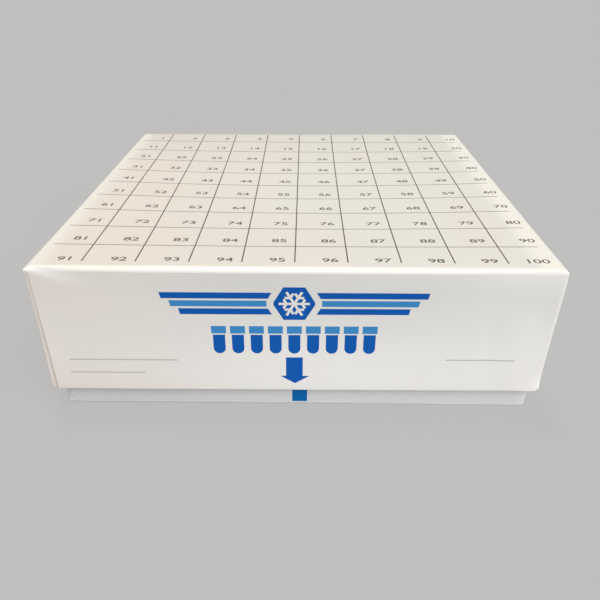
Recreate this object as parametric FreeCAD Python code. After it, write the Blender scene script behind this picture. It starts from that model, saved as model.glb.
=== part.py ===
"""Cardboard freezer box: a base tray, a lid that lifts off and a divider of slotted strips.

All sizes are in millimetres. The origin is at the middle of the underside, +Z is up, and the
printed front of the box faces -Y.
"""

import FreeCAD, Part
import os

# The closed box, outside
box_width = 133.0
box_depth = 133.0
box_height = 43.0
skirt_height = 36.0

# Board thicknesses
lid_board = 0.9
base_board = 0.9
divider_board = 0.6

# Folded edges and glued corners of both trays
fold_inner_radius = 0.3
corner_inset = 0.8
tab_length = 17.0
tab_taper = 3.0
tab_panel_gap = 1.6

# How far the cut ends of the lid's front and back walls lean in, from the fold down to the rim
lid_corner_lean = 1.3
base_corner_lean = 0.2

# The lid's top panel sags inside the base's rim
panel_sag = 1.27
sag_border = 1.2

# Gaps between the lid and the base
side_gap = 1.75
front_gap = 0.85

# The divider
rows = 10
columns = 10
divider_height = 31.0
divider_end_gap = 0.35
slot_gap = 0.15
slot_end_gap = 0.2
slot_mouth_widening = 0.5
slot_mouth_depth = 1.2
divider_corner_cut = 1.0

# The base follows the lid
base_width = box_width - 2 * (lid_board + side_gap)
base_depth = box_depth - 2 * (2 * lid_board + front_gap)
base_height = box_height - lid_board

# The clear space that the divider stands in: between the side walls, and between the glue tabs
clear_width = base_width - 2 * base_board
clear_depth = base_depth - 4 * base_board


def block(half_x, half_y, low, high):
    """A box centred on the Z axis."""
    corner = FreeCAD.Vector(-half_x, -half_y, low)
    return Part.makeBox(2 * half_x, 2 * half_y, high - low, corner)


def level_edges(shape, height):
    """The edges of a shape that lie wholly at one height."""
    return [e for e in shape.Edges if all(abs(v.Z - height) < 1e-6 for v in e.Vertexes)]


def upright_edges(shape):
    """The edges of a shape that run along Z."""
    return [e for e in shape.Edges if abs(e.tangentAt(e.FirstParameter).z) > 0.99]


def plate(outline, y_start, thickness):
    """A flat plate: an outline of (x, z) points, carried along Y."""
    points = [FreeCAD.Vector(x, y_start, z) for x, z in outline]
    face = Part.Face(Part.makePolygon(points + points[:1]))
    return face.extrude(FreeCAD.Vector(0, thickness, 0))


def mirrored_plates(outline, y_start, thickness):
    """The same plate at all four corners of a tray."""
    first = plate(outline, y_start, thickness)
    x_plane = FreeCAD.Vector(1, 0, 0)
    y_plane = FreeCAD.Vector(0, 1, 0)
    middle = FreeCAD.Vector(0, 0, 0)
    second = first.mirror(middle, x_plane)
    return [first, second, first.mirror(middle, y_plane), second.mirror(middle, y_plane)]


def folded_tray(width, depth, height, board, corner_lean):
    """A tray folded from one blank, panel down and rim up, with its panel's outside at z = 0.

    The side walls turn the corners and end in glue tabs behind the front and back walls, whose
    own cut ends stop short of the corner.
    """
    fold = fold_inner_radius + board
    half_x = width / 2
    half_y = depth / 2

    # Panel and the rounded folds around it, which meet in a mitre at each corner
    cap = block(half_x, half_y, 0, 2 * fold)
    cap = cap.makeFillet(fold, level_edges(cap, 0))
    cap = cap.common(block(half_x, half_y, 0, fold))

    # Side walls with their rounded corners, seen where the front and back walls stop
    wrap = block(half_x, half_y - board, fold, height)
    wrap = wrap.makeFillet(fold, upright_edges(wrap))

    # Front and back walls, with leaning ends
    top_end = half_x - corner_inset
    rim_end = top_end - corner_lean
    wall_outline = [(-top_end, fold), (top_end, fold), (rim_end, height), (-rim_end, height)]
    front = plate(wall_outline, -half_y, board)
    back = plate(wall_outline, half_y - board, board)
    body = cap.fuse([wrap, front, back])

    # The inside, with the inner radius of the folds
    inside = block(half_x - board, half_y - board, board, height + fold)
    body = body.cut(inside.makeFillet(fold_inner_radius, level_edges(inside, board)))

    # Glue tabs, which carry on from the side walls round the corners
    root = half_x - board
    tip = root - tab_length
    low = board + tab_panel_gap
    tab_outline = [(root, low), (root, height), (tip, height - tab_taper), (tip, low + tab_taper)]
    tabs = mirrored_plates(tab_outline, half_y - 2 * board, board)
    return body.fuse([tab.common(wrap) for tab in tabs]).removeSplitter()


def sagging_panel(tray, half_x, half_y, board, sag):
    """Lets the middle of a tray's panel sag towards its inside.

    The sag is a dish that is level along its four straight sides and deepest in the middle. Its
    middle control point stands four times as high as the dish is deep.
    """
    dish = Part.BezierSurface()
    dish.increase(2, 2)
    for i, x in enumerate((-half_x, 0, half_x)):
        for j, y in enumerate((-half_y, 0, half_y)):
            z = 4 * sag if i == 1 and j == 1 else 0
            dish.setPole(i + 1, j + 1, FreeCAD.Vector(x, y, z))
    sheet = dish.toShape().extrude(FreeCAD.Vector(0, 0, board))
    window = block(half_x, half_y, -board, 2 * board)
    return tray.cut(window).fuse(sheet)


def divider_strip(length, pitch, count):
    """A strip that stands along X with its bottom edge at z = 0 and `count` slots open upwards."""
    half = length / 2
    slot_half = divider_board / 2 + slot_gap
    mouth_half = slot_half + slot_mouth_widening
    slot_floor = divider_height / 2 - slot_end_gap
    mouth_start = divider_height - slot_mouth_depth
    top = divider_height
    cut = divider_corner_cut
    outline = [(cut - half, top), (-half, top - cut), (-half, cut), (cut - half, 0)]
    outline += [(half - cut, 0), (half, cut), (half, top - cut), (half - cut, top)]
    first = (count - 1) / 2
    for i in range(count):
        x = (first - i) * pitch
        outline += [(x + mouth_half, top), (x + slot_half, mouth_start)]
        outline += [(x + slot_half, slot_floor), (x - slot_half, slot_floor)]
        outline += [(x - slot_half, mouth_start), (x - mouth_half, top)]
    return plate(outline, -divider_board / 2, divider_board)


def save(name, shape):
    """Writes one piece to its own file."""
    if not shape.isValid() or len(shape.Solids) != 1:
        raise ValueError(name + " is not one sound solid")
    shape.Solids[0].exportStep(os.path.join("parts", name + ".step"))


def main():
    os.makedirs("parts", exist_ok=True)
    origin = FreeCAD.Vector(0, 0, 0)
    x_axis = FreeCAD.Vector(1, 0, 0)
    z_axis = FreeCAD.Vector(0, 0, 1)

    save("base", folded_tray(base_width, base_depth, base_height, base_board, base_corner_lean))

    lid = folded_tray(box_width, box_depth, skirt_height, lid_board, lid_corner_lean)
    sag_half_x = clear_width / 2 - sag_border
    sag_half_y = clear_depth / 2 - sag_border
    lid = sagging_panel(lid, sag_half_x, sag_half_y, lid_board, panel_sag)
    lid.rotate(origin, x_axis, 180)
    lid.translate(FreeCAD.Vector(0, 0, box_height))
    save("lid", lid)

    # Row strips run left to right, and column strips are the same kind of strip, turned over
    column_pitch = clear_width / columns
    row_pitch = clear_depth / rows
    row_length = clear_width - 2 * divider_end_gap
    column_length = clear_depth - 2 * divider_end_gap
    for i in range(rows - 1):
        strip = divider_strip(row_length, column_pitch, columns - 1)
        y = (i + 1 - rows / 2) * row_pitch
        strip.translate(FreeCAD.Vector(0, y, base_board))
        save("row_divider_" + str(i + 1), strip)
    for i in range(columns - 1):
        strip = divider_strip(column_length, row_pitch, rows - 1)
        strip.rotate(origin, x_axis, 180)
        strip.rotate(origin, z_axis, 90)
        x = (i + 1 - columns / 2) * column_pitch
        strip.translate(FreeCAD.Vector(x, 0, base_board + divider_height))
        save("column_divider_" + str(i + 1), strip)


main()
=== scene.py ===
"""Dresses the cardboard freezer box: coated board, printed chart, front print and studio stage."""

import math

import bpy
import numpy as np
from bpy.props import FloatProperty, PointerProperty, StringProperty
from mathutils import Matrix, Vector


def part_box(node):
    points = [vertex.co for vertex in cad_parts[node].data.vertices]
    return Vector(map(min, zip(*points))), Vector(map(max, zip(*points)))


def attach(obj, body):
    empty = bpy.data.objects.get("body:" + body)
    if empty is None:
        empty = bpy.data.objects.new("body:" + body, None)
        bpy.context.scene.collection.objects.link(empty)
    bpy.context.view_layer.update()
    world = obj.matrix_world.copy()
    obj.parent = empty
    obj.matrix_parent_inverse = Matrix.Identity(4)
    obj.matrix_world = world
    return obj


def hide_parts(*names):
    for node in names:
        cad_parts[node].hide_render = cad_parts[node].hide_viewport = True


bl_info = {
    "name": "Cardboard freezer box",
    "version": (1, 0, 0),
    "blender": (4, 5, 0),
    "location": "View3D > Sidebar > Freezer box",
    "description": "Builds the coated board, the printed chart and the stage of a freezer box",
    "category": "Object",
}

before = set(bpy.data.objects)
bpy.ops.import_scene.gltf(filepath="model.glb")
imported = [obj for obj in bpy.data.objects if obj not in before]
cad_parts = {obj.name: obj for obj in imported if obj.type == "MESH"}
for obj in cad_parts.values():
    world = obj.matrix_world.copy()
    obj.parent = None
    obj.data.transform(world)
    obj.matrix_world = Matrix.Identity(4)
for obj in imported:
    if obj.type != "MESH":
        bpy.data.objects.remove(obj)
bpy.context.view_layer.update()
MM = 0.001


def hex_to_linear(text):
    """An sRGB hex colour as linear red, green, blue and an alpha of 1."""
    parts = [int(text[i : i + 2], 16) / 255 for i in (1, 3, 5)]
    return [c / 12.92 if c <= 0.04045 else ((c + 0.055) / 1.055) ** 2.4 for c in parts] + [1.0]


def node_low_high(name):
    """The box of a CAD node in millimetres."""
    low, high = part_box(name)
    return np.array(low) / MM, np.array(high) / MM


LID_LOW, LID_HIGH = node_low_high("lid")
BASE_LOW, BASE_HIGH = node_low_high("base")

# The lid is square, and its walls come down as far as its skirt
HALF_LID = LID_HIGH[0]
SKIRT = LID_HIGH[2] - LID_LOW[2]


# The settings


class FreezerBoxBoard(bpy.types.PropertyGroup):
    """The folded board of the lid and the base."""

    board: FloatProperty(
        name="Board", description="Thickness of the board in mm", default=0.9, min=0.3, max=2.0
    )
    fold: FloatProperty(
        name="Lid fold", description="Outer radius of the lid's folds in mm", default=1.35, min=0.5, max=4.0
    )
    base_fold: FloatProperty(
        name="Base fold", description="Outer radius of the base's folds in mm", default=0.6, min=0.3, max=4.0
    )
    sag: FloatProperty(
        name="Sag", description="How far the middle of the lid sags in mm", default=1.27, min=0.0, max=3.0
    )
    coated: StringProperty(
        name="Coated face", description="Colour of the lid's coated face", default="#EAE9E6"
    )
    base_coated: StringProperty(
        name="Base face", description="Colour of the base's coated face", default="#E4E5E6"
    )
    inside: StringProperty(
        name="Inside face", description="Colour of the uncoated inside", default="#DAD7CF"
    )
    cut: StringProperty(
        name="Cut edge", description="Colour of the board's cut edges", default="#DCCFBF"
    )


class FreezerBoxPrint(bpy.types.PropertyGroup):
    """The chart on the lid and the marks on the front."""

    column_pitch: FloatProperty(
        name="Column pitch", description="Width of a chart column in mm", default=13.215
    )
    row_pitch: FloatProperty(
        name="Row pitch", description="Depth of a chart row in mm", default=13.123
    )
    shift_x: FloatProperty(
        name="Shift right", description="Chart's middle to the right of the lid's in mm", default=-0.35
    )
    shift_y: FloatProperty(
        name="Shift back", description="Chart's middle behind the lid's in mm", default=0.495
    )
    line: FloatProperty(
        name="Line", description="Width of the chart's lines in mm", default=0.26
    )
    black: StringProperty(
        name="Black", description="Colour of the chart's ink", default="#473E37"
    )
    blue: StringProperty(
        name="Blue", description="Colour of the front's dark ink", default="#0056AC"
    )
    pale_blue: StringProperty(
        name="Pale blue", description="Colour of the front's light ink", default="#3C88C4"
    )
    grey: StringProperty(
        name="Grey", description="Colour of the front's small rules", default="#BFBCB8"
    )


def board_settings():
    """The sizes and colours of the board."""
    return bpy.context.scene.freezer_box_board


def print_settings():
    """The sizes and colours of the print."""
    return bpy.context.scene.freezer_box_print


# The materials


def add_node(tree, kind, inputs=None, **settings):
    """Adds one node with its settings. A value in inputs is a number, a colour or an output to link."""
    node = tree.nodes.new(kind)
    for key, value in settings.items():
        setattr(node, key, value)
    for key, value in (inputs or {}).items():
        if isinstance(value, bpy.types.NodeSocket):
            tree.links.new(value, node.inputs[key])
        else:
            node.inputs[key].default_value = value
    return node


def new_material(name):
    """A material with no nodes yet, and its tree."""
    material = bpy.data.materials.new(name)
    material.use_nodes = True
    material.node_tree.nodes.clear()
    return material, material.node_tree


def shaded(colour, share):
    """A linear colour, darkened to a share of itself."""
    return [c * share for c in colour[:3]] + [1.0]


def board_material(name, face, inside, cut, warm, stretched_and_sheen):
    """White-lined folding board: clay-coated and calendered outside, so a satin face with faint
    clouding, a painted tint towards the left that stands for the colour of the light there, a
    painted shade that greys the face by the handled value, and whiter and more polished over
    the folds, partly stretch whitening and partly a painted highlight; bare pulp inside, duller and
    greyer; and a rough, warm cut edge."""
    fibre_mm, cloud_mm, fibre_height_mm = 0.35, 28.0, 0.04
    handled_share = (0.875, 0.87, 0.86, 1.0)
    material, tree = new_material(name)
    place = add_node(tree, "ShaderNodeTexCoord").outputs["Object"]
    edge, bare, whitening_and_sheen, handled = [
        add_node(tree, "ShaderNodeAttribute", attribute_name=key).outputs["Fac"]
        for key in ("cut", "inside", "fold", "handled")
    ]
    clouds, fibres = [
        add_node(tree, "ShaderNodeTexNoise", {"Vector": place, "Scale": 1000 / size, "Detail": fine})
        .outputs["Fac"]
        for size, fine in ((cloud_mm, 3.0), (fibre_mm, 4.0))
    ]

    # The clouding of the coated face, plus a painted tint towards the left that stands for the colour of the
    # light there
    along = add_node(tree, "ShaderNodeSeparateXYZ", {"Vector": place}).outputs["X"]
    leftward = add_node(
        tree,
        "ShaderNodeMapRange",
        {"Value": along, "From Min": 0.01, "From Max": -0.05, "To Min": -0.15, "To Max": 0.7},
    ).outputs["Result"]
    drifting = add_node(
        tree, "ShaderNodeMapRange", {"Value": clouds, "From Min": 0.3, "From Max": 0.7, "To Max": 0.4}
    ).outputs["Result"]
    clouds_and_left_tint = add_node(
        tree, "ShaderNodeMath", {0: leftward, 1: drifting}, operation="ADD", use_clamp=True
    ).outputs["Value"]

    # The bare pulp and the cut edge, both speckled with fibres
    speck = add_node(
        tree, "ShaderNodeMapRange", {"Value": fibres, "From Min": 0.3, "From Max": 0.7}
    ).outputs["Result"]
    pulp, core = [
        add_node(tree, "ShaderNodeMix", {0: speck, 6: shaded(tone, dark), 7: tone}, data_type="RGBA")
        .outputs[2]
        for tone, dark in ((hex_to_linear(inside), 0.93), (hex_to_linear(cut), 0.8))
    ]

    # Each finish lies over the ones before it, by its own share
    colour = hex_to_linear(face)
    painted_shade_colour = [c * share for c, share in zip(colour, handled_share)]
    finishes = (
        (clouds_and_left_tint, hex_to_linear(warm)),
        # Painted shade: the face greys by the handled value
        (handled, painted_shade_colour),
        # Whiter over the folds: partly stretch whitening, partly a painted highlight
        (whitening_and_sheen, hex_to_linear(stretched_and_sheen)),
        (bare, pulp),
        (edge, core),
    )
    for share, finish in finishes:
        colour = add_node(
            tree, "ShaderNodeMix", {0: share, 6: colour, 7: finish}, data_type="RGBA"
        ).outputs[2]

    # Satin outside, more polished on the folds, and dull where the pulp is bare
    dull = add_node(tree, "ShaderNodeMath", {0: bare, 1: edge}, operation="MAXIMUM").outputs["Value"]
    satin = add_node(
        tree, "ShaderNodeMapRange", {"Value": whitening_and_sheen, "To Min": 0.34, "To Max": 0.27}
    ).outputs["Result"]
    rough = add_node(
        tree, "ShaderNodeMapRange", {"Value": dull, "To Min": satin, "To Max": 0.85}
    ).outputs["Result"]
    tooth = add_node(
        tree, "ShaderNodeMapRange", {"Value": dull, "To Min": 0.12, "To Max": 0.5}
    ).outputs["Result"]
    bump = add_node(
        tree, "ShaderNodeBump", {"Height": fibres, "Strength": tooth, "Distance": fibre_height_mm * MM}
    ).outputs["Normal"]
    shader = add_node(
        tree,
        "ShaderNodeBsdfPrincipled",
        {"Base Color": colour, "Roughness": rough, "Normal": bump, "IOR": 1.48},
    ).outputs["BSDF"]
    add_node(tree, "ShaderNodeOutputMaterial", {"Surface": shader})
    return material


def strip_material(name, colour, cut):
    """Solid bleached board, die cut: a matt face with short fibres and slightly darker cut edges,
    which are the faces that look up or down."""
    fibre_mm, cloud_mm, fibre_height_mm = 0.4, 16.7, 0.04
    material, tree = new_material(name)
    place = add_node(tree, "ShaderNodeTexCoord").outputs["Object"]
    normal = add_node(tree, "ShaderNodeNewGeometry").outputs["Normal"]
    up = add_node(tree, "ShaderNodeSeparateXYZ", {"Vector": normal}).outputs["Z"]
    level = add_node(tree, "ShaderNodeMath", {0: up}, operation="ABSOLUTE").outputs["Value"]
    clouds, fibres = [
        add_node(tree, "ShaderNodeTexNoise", {"Vector": place, "Scale": 1000 / size, "Detail": fine})
        .outputs["Fac"]
        for size, fine in ((cloud_mm, 2.0), (fibre_mm, 4.0))
    ]
    face, core = [
        add_node(tree, "ShaderNodeMix", {0: noise, 6: shaded(tone, dark), 7: tone}, data_type="RGBA")
        .outputs[2]
        for noise, tone, dark in (
            (clouds, hex_to_linear(colour), 0.95),
            (fibres, hex_to_linear(cut), 0.75),
        )
    ]
    both = add_node(
        tree, "ShaderNodeMix", {0: level, 6: face, 7: core}, data_type="RGBA"
    ).outputs[2]
    bump = add_node(
        tree, "ShaderNodeBump", {"Height": fibres, "Strength": 0.4, "Distance": fibre_height_mm * MM}
    ).outputs["Normal"]
    shader = add_node(
        tree,
        "ShaderNodeBsdfPrincipled",
        {"Base Color": both, "Roughness": 0.8, "Normal": bump, "IOR": 1.45},
    ).outputs["BSDF"]
    add_node(tree, "ShaderNodeOutputMaterial", {"Surface": shader})
    return material


def ink_material(name, colour, patchy=0.0):
    """Offset litho ink on coated board: thin, satin, and a little uneven where the solid is open."""
    grain_mm = 0.625
    material, tree = new_material(name)
    place = add_node(tree, "ShaderNodeTexCoord").outputs["Object"]
    grain = add_node(
        tree, "ShaderNodeTexNoise", {"Vector": place, "Scale": 1000 / grain_mm, "Detail": 3.0}
    ).outputs["Fac"]
    ink = hex_to_linear(colour)
    thin = [c + (0.8 - c) * patchy for c in ink[:3]] + [1.0]
    shade = add_node(tree, "ShaderNodeMix", {0: grain, 6: ink, 7: thin}, data_type="RGBA").outputs[2]
    shader = add_node(
        tree, "ShaderNodeBsdfPrincipled", {"Base Color": shade, "Roughness": 0.55, "IOR": 1.22}
    ).outputs["BSDF"]
    add_node(tree, "ShaderNodeOutputMaterial", {"Surface": shader})
    return material


LID_BOARD = "Coated folding board, lid"
BASE_BOARD = "Coated folding board, base"
DIVIDER_BOARD = "Die-cut bleached board, divider"
BLACK_INK = "Offset ink, black"


def board_of(name):
    """One of the three boards, made once."""
    found = bpy.data.materials.get(name)
    if found:
        return found
    s = board_settings()
    if name == LID_BOARD:
        return board_material(name, s.coated, s.inside, s.cut, warm="#EDE4DE", stretched_and_sheen="#FAF8F4")
    if name == BASE_BOARD:
        return board_material(name, s.base_coated, s.inside, s.cut, warm="#E0E1E2", stretched_and_sheen="#EDEEEE")
    return strip_material(name, "#DEDBD3", "#BDB3A5")


def black_ink():
    """The chart's ink, made once."""
    return bpy.data.materials.get(BLACK_INK) or ink_material(BLACK_INK, print_settings().black, 0.18)


# The shapes


def smooth(t):
    """0 below 0, 1 above 1, and 3t^2 - 2t^3 between."""
    t = np.clip(t, 0.0, 1.0)
    return t * t * (3 - 2 * t)


def bell(t):
    """exp(-t^2)."""
    return np.exp(-np.square(t))


def add_object(name, data):
    """Makes an object and adds it to the scene."""
    obj = bpy.data.objects.new(name, data)
    bpy.context.scene.collection.objects.link(obj)
    return obj


def mesh_piece(name, points, faces, material, shading=None, **values):
    """Makes an object from an array of points in mm and lists of faces. shading is the angle past
    which an edge is sharp, and values are point values."""
    mesh = bpy.data.meshes.new(name)
    mesh.from_pydata((np.asarray(points) * MM).tolist(), [], faces)
    mesh.materials.append(material)
    for key, array in values.items():
        attribute = mesh.attributes.new(key, "FLOAT", "POINT")
        attribute.data.foreach_set("value", np.asarray(array, np.float32))
    mesh.polygons.foreach_set("use_smooth", np.full(len(mesh.polygons), shading is not None))
    mesh.update()
    if shading:
        mesh.set_sharp_from_angle(angle=math.radians(shading))
    return add_object(name, mesh)


def ring_faces(rings, count):
    """Quads between successive rings of `count` points, with a fan to a single point at each end.
    Point 0 is the first pole, then the rings in order, then the last pole."""
    first = 1 + np.arange(rings - 1)[:, None] * count
    here = np.arange(count)[None, :]
    after = (here + 1) % count
    quads = np.stack([first + here, first + after, first + count + after, first + count + here], -1)
    faces = quads.reshape(-1, 4).tolist()
    start = [[0, 1 + (i + 1) % count, 1 + i] for i in range(count)]
    last = 1 + (rings - 1) * count
    end = [[last + count, last + i, last + (i + 1) % count] for i in range(count)]
    return start + faces + end


# Points of a quarter outline: up to the tab's tip, over it, on to the cut end, over the cut end,
# across the gap beside it, round the corner, and along the side
TO_TIP, OVER_TIP, TO_END, OVER_END, GAP, ROUND, SIDE = 30, 4, 13, 5, 2, 9, 41
END_START = TO_TIP + OVER_TIP + TO_END
PATH_CUT = slice(END_START, END_START + OVER_END)
PATH_CORNER = slice(END_START, END_START + OVER_END + GAP + ROUND)


def corner_path(size, end, step, lip, radius, tip, tab):
    """One quarter of a tray's level outline, from the middle of the front to the middle of the
    right side: the front wall, which steps in by `tab` past `tip`; its cut end at `end`, where it
    steps in by `step` over the width `lip`; and a quarter circle into the side wall."""
    half_x, half_y = size
    tab_edge = 0.12
    tip_x = tip + tab_edge * np.array([-1, -1 / 3, 1 / 3, 1])
    end_x = np.append(np.linspace(tip + 0.5, end - 0.12, TO_END - 1), end)
    x = np.concatenate([np.linspace(0, tip - 0.4, TO_TIP), tip_x, end_x])
    front = np.stack([x, -half_y + tab * smooth((x - tip) / tab_edge + 0.5)], 1)
    inset = -half_y + tab
    turn = np.array([[0.2, 0.05], [0.4, 0.2], [0.55, 0.5], [0.65, 0.8], [1.0, 1.0]])
    cut_end = np.stack([end + lip * turn[:, 0], inset + step * turn[:, 1]], 1)
    middle = (half_x - radius, inset + step + radius)
    gap_x = end + lip + (middle[0] - end - lip) * np.array([0.35, 0.7])
    gap = np.stack([gap_x, np.full(GAP, inset + step)], 1)
    angle = np.radians(np.linspace(-90, 0, ROUND))
    arc = np.stack([middle[0] + radius * np.cos(angle), middle[1] + radius * np.sin(angle)], 1)
    side_y = middle[1] * (1 - np.linspace(0, 1, SIDE + 1)[1:])
    side = np.stack([np.full(SIDE, half_x), side_y], 1)
    return np.concatenate([front, cut_end, gap, arc, side])


def full_ring(front_right, other):
    """The four quarters of a level outline, anticlockwise from above, without repeats. The other
    three corners are mirrored copies of one quarter."""
    flip_y = other[::-1] * [1, -1]
    flip_x = other[::-1] * [-1, 1]
    return np.concatenate([front_right[:-1], flip_y[:-1], (-other)[:-1], flip_x[:-1]])


# A fold's section is a superellipse of this power
FOLD_POWER = 1.35

# The glue tabs behind the front and back walls, as in the CAD
TAB_LENGTH = 17.0
TAB_TAPER = 3.0
TAB_PANEL_GAP = 1.6
FOLD_INNER_RADIUS = 0.3

# How far before the corner the points of a cut end lie on the panel, where nothing is cut
BEFORE_CORNER = 0.9


def tray_rings(half_x, half_y, height, board, fold, corners):
    """The surface of a folded tray as rings from the middle of its panel's outside, over the fold,
    down the walls, round the rim, up the inside and back to the middle, with z = 0 at the panel's
    outside and growing towards the rim. The fold's section is a superellipse. corners gives, for
    the front wall's right end and then for the other three ends, the inset, how much more it is at
    the rim, the step behind the cut end, the width of that step, and the corner's radius as a share
    of the room it has. Returns points, faces and three point values: cut edge, which also runs on
    beside the cut ends as a painted shadow, inside, and the fold's whitening, which is partly
    stretch whitening and partly a painted highlight."""
    rings, values = [], []
    long_wall = height - fold
    tip = half_x - board - TAB_LENGTH
    inset, lean, step, lip_width, share = np.array(corners).T

    def add(
        size, ends, steps, lips, radii, tip_x, tab, z, cut=0.0, inner=0.0, lip=0.0, whitening_and_sheen=0.0, curl=1.0
    ):
        """One ring at z. cut, inner and whitening_and_sheen are its values, lip is how rough the cut ends
        are and how far their cut colour runs on beside them as painted shadow, and curl is how far the
        front right corner is whitened, partly stretch whitening and partly a painted highlight."""
        quarters = [corner_path(size, ends[i], steps[i], lips[i], radii[i], tip_x, tab) for i in (0, 1)]
        ring = full_ring(*quarters)
        rings.append(np.column_stack([ring, np.full(len(ring), z)]))
        edge = np.full(len(quarters[0]), cut)
        rough = lip * (0.35 + 0.65 * float(smooth((z - 8) / 12)))
        edge[PATH_CUT] = np.maximum(edge[PATH_CUT], rough)
        # The cut colour runs on over the first points of the gap beside the cut end: a painted shadow of the
        # step
        edge[PATH_CUT.stop] = max(cut, 0.5 * rough)
        edge[PATH_CUT.stop + 1] = max(cut, 0.15 * rough)
        right = np.maximum(0.15 * edge, cut)
        back = edge[::-1]
        edges = np.concatenate([right[:-1], back[:-1], edge[:-1], back[:-1]])
        added_whitening_and_sheen = np.full(len(ring), whitening_and_sheen)
        # The front right corner's strip is whiter: partly stretch whitening, partly a painted highlight
        added_whitening_and_sheen[PATH_CORNER] = np.maximum(added_whitening_and_sheen[PATH_CORNER], lip * curl)
        values.append(np.column_stack([edges, np.full(len(ring), inner), added_whitening_and_sheen]))

    # The panel, with its rings closer together towards the fold
    none = np.zeros(2)
    flat = np.array([half_x - fold, half_y - fold])
    sides = np.array([half_x, half_y])
    for s in 1 - np.linspace(1, 0, 27)[1:] ** 1.35:
        ends = none + (flat[0] - BEFORE_CORNER) * s
        add(flat * s, ends, none, none + 0.2 * s, none + 0.16 * s, tip * s, 0, 0, whitening_and_sheen=float(s > 0.99))

    # The fold, whiter all over: partly stretch whitening and partly a painted highlight
    for angle in np.radians([7, 16, 27, 38, 48, 58, 69, 80]):
        reach = math.sin(angle) ** FOLD_POWER
        z = fold * (1 - math.cos(angle) ** FOLD_POWER)
        start = flat[0] - BEFORE_CORNER
        ends = start + (half_x - inset - start) * reach
        lips = 0.2 + (lip_width - 0.2) * reach
        radii = none + 0.16 + 0.14 * reach
        add(sides + fold * (reach - 1), ends, none, lips, radii, tip, 0, z, whitening_and_sheen=1.0)

    # The walls
    first = [0.02, 0.35, 0.7, 1.05, 1.5]
    last = [long_wall - 0.9, long_wall - 0.3, long_wall - 0.12]
    for w in np.concatenate([first, np.linspace(2.4, long_wall - 1.8, 23), last]):
        ends = half_x - inset - lean * w / long_wall
        deep = float(smooth((w - 0.02) / 1.6))
        steps = step * deep * (0.45 + 0.55 * smooth(w / 16))
        radii = 0.3 + (share * (half_x - ends) - 0.3) * deep
        added_whitening_and_sheen = 0.35 + 0.65 * smooth((w - long_wall + 6) / 5)
        whitening_and_sheen = float(w < 0.1)
        add(sides, ends, steps, lip_width, radii, tip, 0, fold + w, lip=deep, whitening_and_sheen=whitening_and_sheen, curl=added_whitening_and_sheen)

    # The rim, with both its edges a little round
    add(sides - 0.04, ends, step, lip_width, radii, tip, 0, height - 0.035, 0.6, lip=1)
    add(sides - 0.13, ends, step, lip_width, radii, tip, 0, height, 1.0, lip=1)
    inner_size = sides - board
    ends = ends - 0.4
    lips, radii = none + 0.2, none + 0.35
    tip_rim = tip + TAB_TAPER
    add(inner_size + 0.13, ends, none, lips, radii, tip_rim + 0.2, board, height, 1.0, 0.3)
    add(inner_size, ends, none, lips, radii, tip_rim + 0.1, board, height - 0.08, 0.5, 0.7)

    # The inside of the walls, with the glue tabs in front of them
    low = board + TAB_PANEL_GAP
    for z in np.concatenate([np.linspace(height - 0.6, low + 3, 12), np.linspace(low + 2.4, low + 0.4, 4)]):
        slant = max(0.0, z - (height - TAB_TAPER)) + max(0.0, low + TAB_TAPER - z)
        add(inner_size, ends, none, lips, radii, tip + slant, board, z, 0, 1)
    for z, tab in ((low, board * 0.5), (low - 0.2, 0.0), (board + FOLD_INNER_RADIUS, 0.0)):
        add(inner_size, ends, none, lips, radii, tip + TAB_TAPER, tab, z, 0, 1)

    # The inside of the fold and of the panel
    radii = none + FOLD_INNER_RADIUS
    for angle in np.radians([30, 60, 90]):
        size = inner_size + FOLD_INNER_RADIUS * (math.cos(angle) - 1)
        z = board + FOLD_INNER_RADIUS * (1 - math.sin(angle))
        add(size, ends, none, lips, radii, tip, 0, z, 0, 1)
    inner_flat = inner_size - FOLD_INNER_RADIUS
    for s in np.linspace(1, 0, 16)[1:-1]:
        inner_ends = (ends - FOLD_INNER_RADIUS) * s
        add(inner_flat * s, inner_ends, none, lips * s, radii * s, tip * s, 0, board, 0, 1)
    points = np.concatenate([[[0, 0, 0]], np.concatenate(rings), [[0, 0, board]]])
    cut, inside, whitening_and_sheen = np.concatenate([[[0, 0, 0]], np.concatenate(values), [[0, 1, 0]]]).T
    return points, ring_faces(len(rings), len(rings[0])), cut, inside, whitening_and_sheen


# Half sizes of the dish in the lid's panel, which ends at the base's rim
DISH_HALF_X, DISH_HALF_Y = 61.9, 61.0

# The panel lies this much lower than the CAD's, so that the print on it stays inside the CAD's box
PRINT_ROOM = 0.04

# Half the thickness of a film of ink
INK = 0.03


def sag_depth(x, y, sag):
    """How far the lid's panel has sunk: sag (1 - (x/a)^2) (1 - (y/b)^2) inside the base's rim, with
    each bracket kept above 0 by (t + sqrt(t^2 + e)) / 2, which rounds the break at the rim."""
    soft = 0.0012
    u = 1 - np.square(np.asarray(x) / DISH_HALF_X)
    v = 1 - np.square(np.asarray(y) / DISH_HALF_Y)
    u = 0.5 * (u + np.sqrt(u * u + soft))
    v = 0.5 * (v + np.sqrt(v * v + soft))
    return sag * u * v


def lid_top(x, y, sag):
    """Height of the lid's printed face."""
    return LID_HIGH[2] - PRINT_ROOM - sag_depth(x, y, sag)


def crease_depth(along):
    """How far below the top the front's crease lies, this far from the left end: it falls fast at
    first and then levels out, as 1 - exp(-t)."""
    return 0.8 + 6.8 * (1 - np.exp(-np.clip(along, 0, None) / 13))


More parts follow.
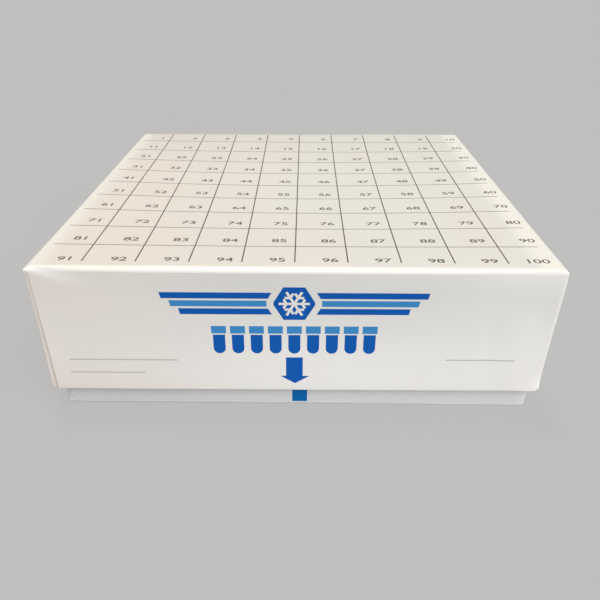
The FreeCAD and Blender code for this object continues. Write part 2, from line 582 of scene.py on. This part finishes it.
def front_inset(x, z):
    """How far the lid's front face stands back from its box, as a sum. The ends of the rim spring
    back with the square of x. The wall is hollow, as a sine over its height. A facet leans back
    above the crease that runs from the top left corner, less so along it, and a low ridge marks the
    crease. The fold rolls over more softly towards the right. There are two bell-shaped dents near
    the right end, and the lower right corner curls forward."""
    x = np.asarray(x)
    depth = LID_HIGH[2] - np.asarray(z)
    down = depth / SKIRT
    along = x + HALF_LID
    spring = 0.09 + 0.26 * smooth(down) * np.square(x / HALF_LID)
    arch = (0.35 + 0.25 * smooth((x + 30) / 60)) * (1 - np.square(np.square(x / HALF_LID))) + 0.1
    hollow = arch * np.sin(np.pi * np.clip(down, 0, 1)) ** 1.3
    crease = crease_depth(along)
    slope = (0.55 * np.exp(-np.clip(along, 0, None) / 9) + 0.03) * smooth((along - 0.3) / 2)
    facet = slope * np.clip(crease - depth, 0, 1.6) * (1 - smooth((along - 18) / 12))
    ridge = 0.05 * bell((depth - crease) / 0.5) * bell((along - 13) / 4)
    roll = 0.32 * smooth((x - 22) / 40) * (1 - smooth((depth - 0.6) / 3.0))
    upper_dent = 0.34 * bell(np.hypot(x - 61.0, depth - 13.5) / 3.0)
    lower_dent = 0.2 * bell(np.hypot(x - 50.0, (depth - 22.0) / 3) / 2.8)
    curl = 0.3 * bell((x - HALF_LID) / 5.0) * smooth((depth - 33.0) / 2.9)
    return spring + hollow + facet - ridge + roll + upper_dent + lower_dent - curl


def side_inset(x, y, z):
    """How far the lid's side walls stand in from the box. Both bow in, most at the middle of the
    rim. The left one is pinched beside the crease, and the right one draws in towards the front."""
    depth = LID_HIGH[2] - z
    lower = smooth(depth / SKIRT)
    from_front = y + HALF_LID
    bow = 0.05 + 0.25 * lower * bell(y / 40)
    pinch = 0.06 * bell(from_front / 9) * bell(depth / 7)
    draw = 0.1 + 0.95 * lower * bell(from_front / 45)
    return bow + np.where(x < 0, pinch, draw)


def shaped_lid(points, sag):
    """Places the tray's points as the lid, upside down, and lets them take the wear of a used box.
    The walls move in by front_inset and side_inset, and the panel sinks by sag_depth. Upwards, the
    front's folds are pulled tight and the lower right corner is rounded. Downwards, the back's fold
    is slack, and the rim hangs at the left of the front and drops at its end. Each of these is a
    height times smooth steps or bells of x, y and depth."""
    x, y, depth = points.T
    z = LID_HIGH[2] - depth
    wall_x = smooth((np.abs(x) - 62.8) / 3.0)
    wall_y = smooth((np.abs(y) - 62.8) / 3.0)
    front_half, back_half = y < 0, y > 0
    from_front = y + HALF_LID
    new_x = x - np.sign(x) * side_inset(x, y, z) * wall_x
    back_share = np.where(front_half, 1.0, 0.6)
    new_y = y - np.sign(y) * front_inset(x, z) * wall_y * back_share * smooth(depth / 1.2)

    on_panel = (wall_x < 1) & (wall_y < 1) & (depth < 1.3)
    sunk = sag_depth(x, y, sag) * on_panel + PRINT_ROOM * (1 - smooth(depth / 0.6))
    near_front = wall_y * front_half + wall_x * bell(from_front / 20) * (wall_y < 1)
    tight = (0.5 - 0.2 * smooth((x + HALF_LID) / 70)) * np.clip(near_front, 0, 1)
    tight = tight * smooth(depth / 1.25) * (1 - smooth((depth - 1.5) / 12))
    slack = 0.3 * wall_y * back_half * smooth((40 - x) / 40) * (1 - smooth((depth - 1) / 12))
    hanging = 0.22 * smooth(-x / 60) * smooth((depth - 24) / 11) * wall_y * front_half
    from_corner = np.hypot(np.abs(x) - HALF_LID, from_front)
    dropped = 0.3 * bell(from_corner / 2.4) * smooth((depth - 30) / 6) * (x < 0)
    rounded = 0.75 * bell(from_corner / 1.1) * smooth((depth - 31) / 5) * (x > 0)
    new_z = z - sunk + tight - slack - hanging - dropped + rounded
    return np.column_stack([new_x, new_y, new_z])


def lid_polish(x, y, depth, inner, fold):
    """How far the lid's face is whiter and more polished beside its folds, a painted highlight that
    is partly stretch whitening: along the panel's right and left edges, on the facet above the
    front's crease, and at the curled lower right corner. Each is a product of smooth steps or a
    bell. Also returns the share along the panel's edges."""
    along = x + HALF_LID
    edges = np.maximum(smooth((x - 57.5) / 4), 0.6 * smooth((-x - 60.5) / 3)) * (inner < 0.5)
    facet = smooth((crease_depth(along) - depth) / 0.5) * smooth(along / 4) * (1 - smooth((along - 4) / 13))
    facet = facet * (0.48 + 0.52 * (1 - smooth(depth - fold))) * (depth > fold)
    right_end_sheen = 0.8 * bell(np.hypot(x - HALF_LID, depth - SKIRT) / 5)
    front_face = y < 0.5 - HALF_LID
    return np.maximum(edges * (depth < 0.01), np.maximum(facet, right_end_sheen) * front_face), edges


def lid_handling(x, y, depth, edges, fold):
    """How far the lid's face is greyed by painted shade, in products of smooth steps. The walls are
    grey from the fold down, and the front is less so at its ends and at the top right, and has a
    faint grey band below its middle. The panel is grey towards the back."""
    low = smooth((34 - depth) / 34) * smooth((depth - fold) / 0.3)
    front = (0.35 + 0.65 * smooth((x + 60) / 50)) * (1 - 0.6 * smooth((x - 20) / 40))
    rubbed = (0.4 * smooth((x + 10) / 30) + 0.6 * smooth((x - 40) / 12)) * (1 - smooth((depth - 3) / 5))
    band = smooth((depth - 10) / 8) * (1 - smooth((depth - 28) / 7)) * (1 - 0.6 * bell(x / 20))
    band = 0.22 * band * (1 - smooth((x - 52) / 8)) * smooth((x + 70) / 16)
    walls = np.where(y < 2 - HALF_LID, low * front * (1 - rubbed) + band, 0.6 * low)
    panel = 0.5 * smooth((y - 5) / 60) * (depth < 0.01) * (1 - edges)
    return np.maximum(walls, panel)


# How far the base's walls bow in, at most
BASE_BOW = 0.22


def shaped_base(points):
    """Lets the base's points take the wear of a used tray. Its walls bow in as a bell along them,
    more with height and not at the rim. Towards the foot its front corners draw in, as bells over
    height, and the front's fold lifts a little."""
    half_x, half_y = BASE_HIGH[0], BASE_HIGH[1]
    x, y, z = points.T
    outer = smooth((np.maximum(np.abs(x) - half_x, np.abs(y) - half_y) + 2.2) / 2.0)
    right = 0.5 * bell(z / 16) + 0.36 * bell(z / 2.2)
    left = 0.3 * bell(z / 16) + 0.75 * bell(z / 2.4)
    draw = np.where(x < 0, left, right) * bell((y + half_y) / 22) * outer
    bow = BASE_BOW * outer * smooth(z / 30) * (1 - smooth((z - 34) / 8))
    front = smooth(1.2 - y - half_y)
    lift = (0.3 - 0.2 * smooth((x - 30) / 12)) * bell(z / 2.5) * front * outer
    new_x = x - np.sign(x) * (bow * bell(y / 45) + draw) * (np.abs(x) > half_x - 2.5)
    new_y = y - np.sign(y) * bow * bell(x / 45) * (np.abs(y) > half_y - 2.5)
    return np.column_stack([new_x, new_y, z + lift])


def drift(x, y):
    """How far the chart's print has crept to the right where the panel gives, near its front left:
    a bell over x, times a smooth step over y."""
    return 0.25 * bell((x + 30) / 26) * smooth((6 - y) / 60)


def patch(columns, rows, place):
    """A thin closed film on a face: place(u, v, height) gives the points of a grid for its upper and
    lower skin, and a band joins the two all round. Returns points and faces."""
    u, v = np.meshgrid(np.linspace(0, 1, columns), np.linspace(0, 1, rows), indexing="ij")
    upper = place(u.ravel(), v.ravel(), INK)
    lower = place(u.ravel(), v.ravel(), -INK)
    index = np.arange(columns * rows).reshape(columns, rows)
    quads = np.stack([index[:-1, :-1], index[1:, :-1], index[1:, 1:], index[:-1, 1:]], -1).reshape(-1, 4)
    loop = np.concatenate([index[:-1, 0], index[-1, :-1], index[::-1, -1][:-1], index[0, ::-1][:-1]])
    after = np.roll(loop, -1)
    total = columns * rows
    band = np.stack([loop, loop + total, after + total, after], -1)
    faces = np.concatenate([quads, quads[:, ::-1] + total, band])
    return np.concatenate([upper, lower]), faces.tolist()


def joined(parts):
    """Several (points, faces) pairs as one."""
    points, faces, start = [], [], 0
    for part_points, part_faces in parts:
        points.append(part_points)
        faces += [[i + start for i in face] for face in part_faces]
        start += len(part_points)
    return np.concatenate(points), faces


def on_lid(outline, columns, rows, sag):
    """A film on the lid's top. outline(u, v) gives x and y."""

    def place(u, v, height):
        x, y = outline(u, v)
        return np.column_stack([x + drift(x, y), y, lid_top(x, y, sag) + height])

    return patch(columns, rows, place)


def on_front(outline, columns, rows, lift=0.0):
    """A film on the lid's front. outline(u, v) gives x and z, and lift raises it over another."""

    def place(u, v, height):
        x, z = outline(u, v)
        return np.column_stack([x, LID_LOW[1] + front_inset(x, z) - height - lift, z])

    return patch(columns, rows, place)


def on_base(outline, columns, rows):
    """A film on the base's front. outline(u, v) gives x and z."""

    def place(u, v, height):
        x, z = outline(u, v)
        bow = BASE_BOW * smooth(z / 30) * bell(x / 45)
        return np.column_stack([x, BASE_LOW[1] + bow - height, z])

    return patch(columns, rows, place)


def four_sided(corners):
    """A straight-sided shape as a function of u and v, which mixes its corners, given in the order
    00, 10, 11, 01."""
    a, b, c, d = [np.array(p, float)[:, None] for p in corners]
    return lambda u, v: (a * (1 - u) + b * u) * (1 - v) + (d * (1 - u) + c * u) * v


def upright_box(left, right, low, high):
    """A rectangle as a function of u and v."""
    return four_sided([(left, low), (right, low), (right, high), (left, high)])


# Half sizes of the hexagon on the front, which has six equal sides
HEXAGON_HALF_HEIGHT = 4.7
HEXAGON_HALF_WIDTH = HEXAGON_HALF_HEIGHT * 2 / math.sqrt(3)


def hexagon(x, z):
    """A hexagon that stands on a flat side: its width shrinks in a straight line above and below
    its middle."""

    def shape(u, v):
        rise = 2 * np.asarray(v) - 1
        half_width = HEXAGON_HALF_WIDTH * (1 - 0.5 * np.abs(rise))
        return np.array([x + half_width * (2 * np.asarray(u) - 1), z + HEXAGON_HALF_HEIGHT * rise])

    return shape


def side_bar(x, side, z, rise, reach):
    """A bar beside the hexagon at x, z: its inner end keeps clear of the hexagon by the same gap all
    the way, and its outer end leans outwards."""
    half_bar, gap, lean = 0.85, 2.0, 0.22
    ends = []
    for height in (rise - half_bar, rise + half_bar):
        half_width = HEXAGON_HALF_WIDTH * (1 - 0.5 * abs(height) / HEXAGON_HALF_HEIGHT)
        inner = x + side * (half_width + gap)
        outer = x + side * (reach + lean * (height - rise))
        ends.append([(inner, z + height), (outer, z + height)][::side])
    return four_sided([ends[0][0], ends[0][1], ends[1][1], ends[1][0]])


def tube(x, low, high, radius):
    """A tube seen from the side: straight above, and a half circle below."""

    def shape(u, v):
        rise = (high - low) * np.square(v)
        half_width = np.sqrt(np.square(radius) - np.square(np.clip(radius - rise, 0, radius))) + 0.01
        return np.array([x + half_width * (2 * np.asarray(u) - 1), low + rise])

    return shape


def snowflake(x, z, radius):
    """Six arms with a pair of barbs each, as flat bars. Each stroke runs from one point to another
    in shares of the radius, and is turned by 60 degrees for each arm."""
    half = 0.085 * radius
    strokes = [((0, 0), (1, 0)), ((0.5, 0), (0.69, -0.33)), ((0.5, 0), (0.69, 0.33))]
    bars = []
    for arm in range(6):
        turn = math.radians(60 * arm)
        rotation = np.array([[math.cos(turn), math.sin(turn)], [-math.sin(turn), math.cos(turn)]])
        for start, end in radius * np.array(strokes, float):
            along = end - start
            across = np.array([-along[1], along[0]]) / np.hypot(*along) * half
            corners = np.array([start - across, end - across, end + across, start + across])
            bars.append(on_front(four_sided(corners @ rotation + [x, z]), 6, 2, 0.02 + 0.004 * arm))
    return bars


def digit_shape(character):
    """A digit of Blender's own font as points in units of its own height, and faces."""
    curve = bpy.data.curves.new("digit", "FONT")
    curve.body = character
    curve.extrude = 0.01
    curve.resolution_u = 3
    curve.fill_mode = "BOTH"
    holder = bpy.data.objects.new("digit", curve)
    mesh = bpy.data.meshes.new_from_object(holder)
    places = np.empty(3 * len(mesh.vertices), np.float32)
    mesh.vertices.foreach_get("co", places)
    points = places.reshape(-1, 3).astype(float)
    faces = [list(f.vertices) for f in mesh.polygons]
    bpy.data.objects.remove(holder)
    bpy.data.curves.remove(curve)
    bpy.data.meshes.remove(mesh)
    low, high = points.min(0), points.max(0)
    points[:, 0] = (points[:, 0] - (low[0] + high[0]) / 2) / (high[1] - low[1])
    points[:, 1] = (points[:, 1] - low[1]) / (high[1] - low[1]) - 0.5
    points[:, 2] = np.sign(points[:, 2])
    return points, faces


# The pieces

# The angle past which an edge of the board is drawn sharp
SHARP_ANGLE = 50


class FREEZERBOX_OT_lid(bpy.types.Operator):
    """Builds the lid's folded board with its sag, crease and dents"""

    bl_idname = "freezerbox.lid"
    bl_label = "Lid board"

    def execute(self, context):
        s = board_settings()
        # The front right corner and the others, in the order that tray_rings gives
        corners = ((0.95, 0.1, 0.25, 0.5, 0.42), (1.2, 1.2, 0.75, 0.2, 0.35))
        points, faces, cut, inner, whitening_and_sheen = tray_rings(
            HALF_LID, LID_HIGH[1], SKIRT, s.board, s.fold, corners
        )
        x, y, depth = points.T
        # Whiter beside the folds: a painted highlight, partly stretch whitening
        added_whitening_and_sheen, edges = lid_polish(x, y, depth, inner, s.fold)
        whitening_and_sheen = np.maximum(whitening_and_sheen, added_whitening_and_sheen)
        # Painted shade, which greys the walls and the back of the panel
        grey = lid_handling(x, y, depth, edges, s.fold)
        obj = mesh_piece(
            "lid_board_skin",
            shaped_lid(points, s.sag),
            [f[::-1] for f in faces],
            board_of(LID_BOARD),
            SHARP_ANGLE,
            cut=cut,
            inside=inner,
            fold=whitening_and_sheen,
            handled=grey,
        )
        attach(obj, "lid")
        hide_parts("lid")
        return {"FINISHED"}


class FREEZERBOX_OT_base(bpy.types.Operator):
    """Builds the base's folded board"""

    bl_idname = "freezerbox.base"
    bl_label = "Base board"

    def execute(self, context):
        s = board_settings()
        half_x, half_y = BASE_HIGH[0], BASE_HIGH[1]
        height = BASE_HIGH[2] - BASE_LOW[2]
        # The front right corner and the others, in the order that tray_rings gives
        corners = ((0.8, 0.1, 0.25, 0.45, 0.4), (1.35, 0.1, 0.9, 0.2, 0.5))
        points, faces, cut, inner, whitening_and_sheen = tray_rings(
            half_x, half_y, height, s.board, s.base_fold, corners
        )
        x, y, z = points.T
        # A painted highlight, whiter over the right end of the base's front
        right_end_sheen = 0.8 * smooth((x - half_x + 4) / 3) * (y < 0.5 - half_y)
        obj = mesh_piece(
            "base_board_skin",
            shaped_base(points),
            faces,
            board_of(BASE_BOARD),
            SHARP_ANGLE,
            cut=cut,
            inside=inner,
            fold=np.maximum(whitening_and_sheen, right_end_sheen),
        )
        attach(obj, "base")
        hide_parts("base")
        return {"FINISHED"}


class FREEZERBOX_OT_divider(bpy.types.Operator):
    """Gives the divider's strips their board, and the lid's and base's solids theirs"""

    bl_idname = "freezerbox.divider"
    bl_label = "Divider strips"

    def execute(self, context):
        trays = {"lid": LID_BOARD, "base": BASE_BOARD}
        for name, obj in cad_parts.items():
            obj.data.materials.clear()
            obj.data.materials.append(board_of(trays.get(name, DIVIDER_BOARD)))
        return {"FINISHED"}


class FREEZERBOX_OT_chart_lines(bpy.types.Operator):
    """Prints the lines of the chart on the lid"""

    bl_idname = "freezerbox.chart_lines"
    bl_label = "Chart lines"

    def execute(self, context):
        p = print_settings()
        sag = board_settings().sag
        upright_half, level_half = 0.6 * p.line, 0.45 * p.line
        front, back, left, right = -62.4, 63.6, -63.6, 62.9
        parts = []
        for k in range(-4, 5):
            x = p.shift_x + k * p.column_pitch
            upright = upright_box(x - upright_half, x + upright_half, front, back)
            parts.append(on_lid(upright, 2, 60, sag))
            y = p.shift_y + k * p.row_pitch
            level = upright_box(left, right, y - level_half, y + level_half)
            parts.append(on_lid(level, 60, 2, sag))
        obj = mesh_piece("chart_lines", *joined(parts), black_ink())
        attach(obj, "lid")
        return {"FINISHED"}


class FREEZERBOX_OT_chart_numbers(bpy.types.Operator):
    """Prints the numbers of the chart's 100 places"""

    bl_idname = "freezerbox.chart_numbers"
    bl_label = "Chart numbers"

    def execute(self, context):
        p = print_settings()
        sag = board_settings().sag
        shapes = {c: digit_shape(c) for c in "0123456789"}
        tall, wide, step = 2.3, 1.36, 2.12

        # How far below and beside its place's middle a number's last digit stands
        below, beside, beside_last = 2.4, 3.3, 2.95
        parts = []
        for number in range(1, 101):
            row, column = divmod(number - 1, 10)
            text = str(number)
            last_x = p.shift_x + (column - 4.5) * p.column_pitch
            last_x += beside if number < 100 else beside_last
            centre_y = p.shift_y + (4.5 - row) * p.row_pitch - below
            for i, c in enumerate(text):
                shape, faces = shapes[c]
                x = last_x - (len(text) - 1 - i) * step + shape[:, 0] * tall * wide
                y = centre_y + shape[:, 1] * tall
                z = lid_top(x, y, sag) + INK * shape[:, 2]
                parts.append((np.column_stack([x + drift(x, y), y, z]), faces))
        obj = mesh_piece("chart_numbers", *joined(parts), black_ink())
        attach(obj, "lid")
        return {"FINISHED"}


class FREEZERBOX_OT_front_print(bpy.types.Operator):
    """Prints the arrow and the plain fields of colour on the lid's front"""

    bl_idname = "freezerbox.front_print"
    bl_label = "Front print"

    def execute(self, context):
        p = print_settings()
        dark = ink_material("Offset ink, blue", p.blue)
        pale = ink_material("Offset ink, pale blue", p.pale_blue)
        grey = ink_material("Offset ink, grey", p.grey)
        white = ink_material("Offset ink, opaque white", "#E6E4E0")

        # The arrow that points at the mark on the base
        shaft = upright_box(-2.55, 1.85, 11.5, 17.2)
        head = four_sided([(-0.22, 9.2), (-0.18, 9.2), (3.6, 11.5), (-4.05, 11.5)])
        dark_parts, pale_parts = [on_front(shaft, 8, 10), on_front(head, 12, 8)], []

        # A hexagon with a snowflake, between three bars on each side
        centre, emblem_z, arm = -0.35, 33.25, 3.9
        bar_pitch, reach, longer = 2.3, 29.0, 2.2
        dark_parts.append(on_front(hexagon(centre, emblem_z), 14, 14))
        for step, parts in enumerate((dark_parts, pale_parts, dark_parts)):
            for side in (-1, 1):
                bar = side_bar(centre, side, emblem_z, bar_pitch * (step - 1), reach + longer * step)
                parts.append(on_front(bar, 30, 4))

        # A row of nine capped tubes
        tube_pitch, tube_low, tube_high, tube_radius = 4.85, 18.4, 24.0, 1.55
        cap_low, cap_high, cap_half = 24.4, 26.6, 1.9
        for step in range(9):
            middle = centre + tube_pitch * (step - 4)
            dark_parts.append(on_front(tube(middle, tube_low, tube_high, tube_radius), 6, 14))
            cap = upright_box(middle - cap_half, middle + cap_half, cap_low, cap_high)
            pale_parts.append(on_front(cap, 5, 4))

        # Three thin rules, near the lower corners
        half_rule = 0.16
        rules = []
        for left, right, z in ((-59.6, -31.0, 16.2), (-59.8, -40.0, 12.2), (39.3, 57.4, 16.6)):
            rules.append(on_front(upright_box(left, right, z - half_rule, z + half_rule), 50, 2))

        pieces = (
            ("front_marks_blue", dark_parts, dark),
            ("front_marks_pale", pale_parts, pale),
            ("front_snowflake", snowflake(centre, emblem_z, arm), white),
            ("front_rules", rules, grey),
        )
        for name, parts, ink in pieces:
            obj = mesh_piece(name, *joined(parts), ink)
            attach(obj, "lid")
        return {"FINISHED"}


class FREEZERBOX_OT_base_mark(bpy.types.Operator):
    """Prints the mark on the base that the lid's arrow points at"""

    bl_idname = "freezerbox.base_mark"
    bl_label = "Base mark"

    def execute(self, context):
        ink = ink_material("Offset ink, base blue", "#006BB4")
        mark = on_base(upright_box(-1.0, 3.1, 1.3, 10.0), 6, 12)
        obj = mesh_piece("base_mark", *mark, ink)
        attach(obj, "base")
        return {"FINISHED"}


# The stage

BACKGROUND = hex_to_linear("#BFBFBF")


def background_share(tree):
    """1 for rays from the camera, a mirror or glass, which see the plain background, else 0."""
    path = add_node(tree, "ShaderNodeLightPath").outputs
    share = path["Is Camera Ray"]
    for ray in ("Is Glossy Ray", "Is Transmission Ray"):
        share = add_node(
            tree, "ShaderNodeMath", {0: share, 1: path[ray]}, operation="MAXIMUM"
        ).outputs["Value"]
    return share


def floor_material():
    """Matt painted floor: plain grey, with only a faint shadow, because most of what the camera
    sees of it is the background's own colour."""
    flat_share, cooler = 0.82, 1.02
    material, tree = new_material("Matt painted floor")
    table = add_node(tree, "ShaderNodeBsdfDiffuse", {"Color": hex_to_linear("#B8B8B8")})
    red, green, blue, alpha = BACKGROUND
    lit = add_node(tree, "ShaderNodeBsdfDiffuse", {"Color": [red, green, blue * cooler, alpha]})
    flat = add_node(tree, "ShaderNodeEmission", {"Color": BACKGROUND, "Strength": 1.0})
    shown = add_node(
        tree,
        "ShaderNodeMixShader",
        {0: flat_share, 1: lit.outputs["BSDF"], 2: flat.outputs["Emission"]},
    )
    both = add_node(
        tree,
        "ShaderNodeMixShader",
        {0: background_share(tree), 1: table.outputs["BSDF"], 2: shown.outputs["Shader"]},
    )
    add_node(tree, "ShaderNodeOutputMaterial", {"Surface": both.outputs["Shader"]})
    return material


def studio_world():
    """An even, dim room that the camera sees as the plain background."""
    world = bpy.data.worlds.new("Studio")
    world.use_nodes = True
    tree = world.node_tree
    tree.nodes.clear()
    room = add_node(tree, "ShaderNodeBackground", {"Color": [1, 1, 1, 1], "Strength": 0.34})
    backdrop = add_node(tree, "ShaderNodeBackground", {"Color": BACKGROUND, "Strength": 1.0})
    mix = add_node(
        tree,
        "ShaderNodeMixShader",
        {0: background_share(tree), 1: room.outputs["Background"], 2: backdrop.outputs["Background"]},
    )
    add_node(tree, "ShaderNodeOutputWorld", {"Surface": mix.outputs["Shader"]})
    return world


def add_sun(name, toward, strength, spread, colour, mirrored=True):
    """Soft light from far off, from the direction `toward`, spread over an angle in degrees."""
    data = bpy.data.lights.new(name, "SUN")
    data.energy = strength
    data.angle = math.radians(spread)
    data.color = hex_to_linear(colour)[:3]
    sun = add_object(name, data)
    sun.rotation_mode = "QUATERNION"
    sun.rotation_quaternion = (-Vector(toward)).to_track_quat("-Z", "Y")
    sun.visible_glossy = mirrored


def add_glow(name, place, turn, size, energy, colour, lit):
    """Light that a pale table sends back up at the front, as a small panel that lights only the
    objects in `lit`."""
    data = bpy.data.lights.new(name, "AREA")
    data.shape = "RECTANGLE"
    data.size, data.size_y = size
    data.energy = energy
    data.color = hex_to_linear(colour)[:3]
    panel = add_object(name, data)
    panel.location = place
    panel.rotation_euler = turn
    panel.visible_camera = False
    panel.light_linking.receiver_collection = bpy.data.collections.new("lit by " + name)
    for obj in lit:
        panel.light_linking.receiver_collection.objects.link(obj)


def add_camera():
    """The camera that was fitted to the chart's lines and the box's edges: its focal length and
    middle in pixels, its angles in radians and its place in millimetres."""
    picture = 600
    focal, middle_x, middle_y = 629.504, 300.5, 311.882
    pitch, yaw, roll = 0.516596, -0.0064184, -0.0038069
    eye = Vector((2.0878, -203.5329, 109.0694)) * MM
    forward = Vector(
        (math.sin(yaw) * math.cos(pitch), math.cos(yaw) * math.cos(pitch), -math.sin(pitch))
    )

    # Its right and its down before it rolls, and then after
    level = Vector((math.cos(yaw), -math.sin(yaw), 0))
    down = forward.cross(level)
    right = math.cos(roll) * level + math.sin(roll) * down
    lower = -math.sin(roll) * level + math.cos(roll) * down
    data = bpy.data.cameras.new("photo_view")
    data.sensor_width = 36
    data.sensor_fit = "HORIZONTAL"
    data.lens = focal * data.sensor_width / picture
    data.shift_x = (picture / 2 - middle_x) / picture
    data.shift_y = (middle_y - picture / 2) / picture
    data.clip_start, data.clip_end = 0.01, 50
    camera = add_object("photo_view", data)
    turn = Matrix((right, -lower, -forward)).transposed().to_4x4()
    camera.matrix_world = Matrix.Translation(eye) @ turn
    bpy.context.scene.camera = camera


class FREEZERBOX_OT_stage(bpy.types.Operator):
    """Makes the floor, the light and the camera"""

    bl_idname = "freezerbox.stage"
    bl_label = "Stage"

    def execute(self, context):
        context.scene.view_settings.view_transform = "Standard"
        size, depth = 6000.0, -0.05
        corners = [(-size, -size, depth), (size, -size, depth), (size, size, depth), (-size, size, depth)]
        floor = mesh_piece("floor", np.array(corners), [[0, 1, 2, 3]], floor_material())
        context.scene.world = studio_world()

        add_sun("key", (0.36, -0.58, 0.73), 1.95, 50, "#FFFFFF")
        add_sun("ceiling", (-0.1, 0.25, 1.0), 0.79, 10, "#FFECBE")
        add_sun("rear fill", (-0.35, 0.93, 0.02), 0.55, 20, "#EEF2FF", mirrored=False)

        box = [obj for obj in bpy.data.objects if obj.type == "MESH" and obj is not floor]
        upper = [obj for obj in box if not obj.name.startswith("base")]
        table, card = (0.042, -0.106, 0.0005), (0.048, -0.098, 0.0022)
        up, back = (math.pi, 0, 0), (math.pi / 2, 0, 0)
        add_glow("table glow", table, up, (0.25, 0.05), 0.0170, "#F6F9FF", upper)
        add_glow("low card", card, back, (0.15, 0.003), 0.0032, "#F2F8FF", box)
        add_camera()
        return {"FINISHED"}


# The add-on

OPERATORS = [
    FREEZERBOX_OT_lid,
    FREEZERBOX_OT_base,
    FREEZERBOX_OT_divider,
    FREEZERBOX_OT_chart_lines,
    FREEZERBOX_OT_chart_numbers,
    FREEZERBOX_OT_front_print,
    FREEZERBOX_OT_base_mark,
    FREEZERBOX_OT_stage,
]


class FREEZERBOX_PT_panel(bpy.types.Panel):
    """Lists the steps that dress the freezer box"""

    bl_label = "Freezer box"
    bl_idname = "FREEZERBOX_PT_panel"
    bl_space_type = "VIEW_3D"
    bl_region_type = "UI"
    bl_category = "Freezer box"

    def draw(self, context):
        for operator in OPERATORS:
            self.layout.operator(operator.bl_idname)
        for group in (board_settings(), print_settings()):
            for key in group.bl_rna.properties.keys():
                if key not in ("rna_type", "name"):
                    self.layout.prop(group, key)


CLASSES = [FreezerBoxBoard, FreezerBoxPrint] + OPERATORS + [FREEZERBOX_PT_panel]


def register():
    """Adds the settings, the steps and the panel to Blender."""
    for cls in CLASSES:
        bpy.utils.register_class(cls)
    bpy.types.Scene.freezer_box_board = PointerProperty(type=FreezerBoxBoard)
    bpy.types.Scene.freezer_box_print = PointerProperty(type=FreezerBoxPrint)


def unregister():
    """Takes them out again."""
    del bpy.types.Scene.freezer_box_print
    del bpy.types.Scene.freezer_box_board
    for cls in reversed(CLASSES):
        bpy.utils.unregister_class(cls)


def main():
    """Runs every step in order."""
    register()
    for operator in OPERATORS:
        group, name = operator.bl_idname.split(".")
        getattr(getattr(bpy.ops, group), name)()


if __name__ == "__main__":
    main()
